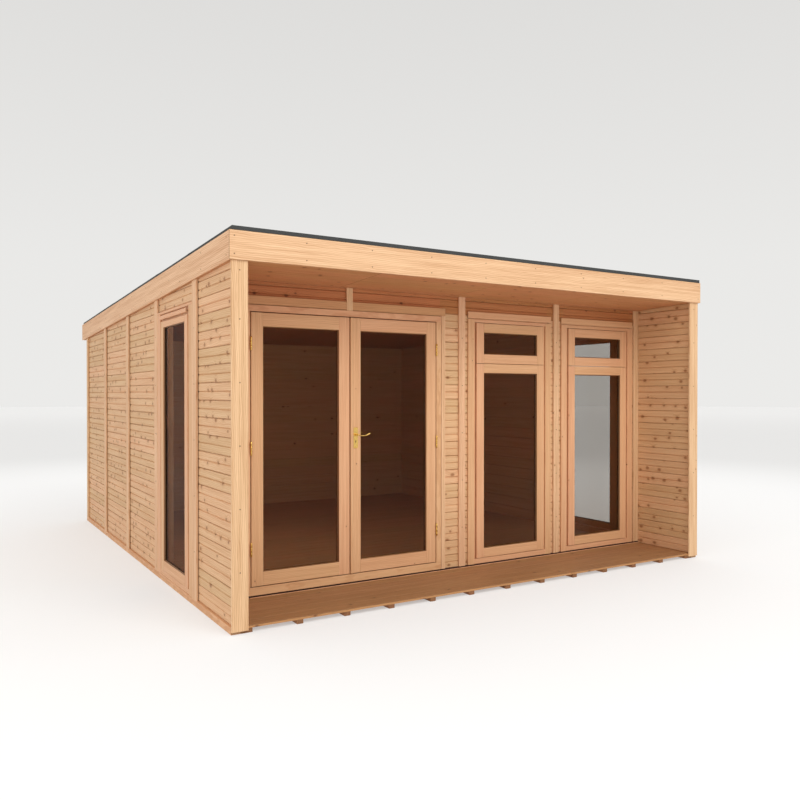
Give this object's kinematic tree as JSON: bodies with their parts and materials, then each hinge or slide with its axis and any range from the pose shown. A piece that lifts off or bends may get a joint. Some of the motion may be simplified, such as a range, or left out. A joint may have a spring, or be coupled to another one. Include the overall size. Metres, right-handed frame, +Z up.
{
  "type": "garden office pod",
  "caption": "Timber garden office with a pent roof, a covered veranda between wing walls, glazed double doors and tall windows.",
  "frame": {"origin": "on the ground at the middle of the footprint", "axes": "-Y towards the front with the doors, +X to the right as seen from the front, +Z up"},
  "size_m": [4.382, 5.266, 2.5],
  "materials": {
    "cladding": "brushed, oiled",
    "battens": "planed, oiled",
    "fascia": "planed, oiled",
    "joinery": "planed, oiled",
    "base_timber": "planed, oiled",
    "deck_boards": "planed",
    "bearers": "rough sawn",
    "ceiling_boards": "planed",
    "roof_timber": "rough sawn",
    "glazing": "tinted",
    "brass": "polished",
    "felt": "mineral felt"
  },
  "bodies": {
    "building": {"bearers": "bearers", "side_base_rails": "base_timber", "rear_base_rail": "base_timber", "veranda_deck": "deck_boards", "floor": "deck_boards", "left_wall": "cladding", "right_wall": "cladding", "rear_wall": "cladding", "left_wing_wall": "cladding", "right_wing_wall": "cladding", "front_wall_left": "cladding", "front_wall_over_doors": "cladding", "front_wall_right": "cladding", "front_sill": "base_timber", "corner_posts": "battens", "left_battens": "battens", "right_battens": "battens", "rear_battens": "battens", "front_battens": "battens", "door_frame": "joinery", "door_trim": "battens", "left_hinge_frame_halves": "brass", "right_hinge_frame_halves": "brass", "front_window_frames": "joinery", "front_window_sashes": "joinery", "front_window_glass": "glazing", "side_window_frames": "joinery", "side_window_sashes": "joinery", "side_window_glass": "glazing", "ceiling": "ceiling_boards", "roof_joists": "roof_timber", "roof_boards": "roof_timber", "roof_felt": "felt", "front_fascia": "fascia", "side_fascias": "fascia", "rear_fascia": "fascia"},
    "left_leaf": {"left_door": "joinery", "left_door_glass": "glazing", "left_hinge_leaf_halves": "brass"},
    "right_leaf": {"right_door": "joinery", "right_door_glass": "glazing", "meeting_strip": "joinery", "right_hinge_leaf_halves": "brass", "handle_plates": "brass"},
    "lever": {"lever_handle": "brass"}
  },
  "joints": [
    {"name": "left_door_swing", "type": "hinge", "parent": "building", "child": "left_leaf", "pos_m": [-1.824, -2.0165, 1.093], "axis": [0, 0, -1], "range_deg": [0, 105]},
    {"name": "right_door_swing", "type": "hinge", "parent": "building", "child": "right_leaf", "pos_m": [-0.26, -2.0165, 1.093], "axis": [0, 0, 1], "range_deg": [0, 110]},
    {"name": "lever_turn", "type": "hinge", "parent": "right_leaf", "child": "lever", "pos_m": [-0.9945, -2.007, 1.169], "axis": [0, 1, 0], "range_deg": [0, 40], "stiffness_Nm_per_rad": 1.5}
  ]
}
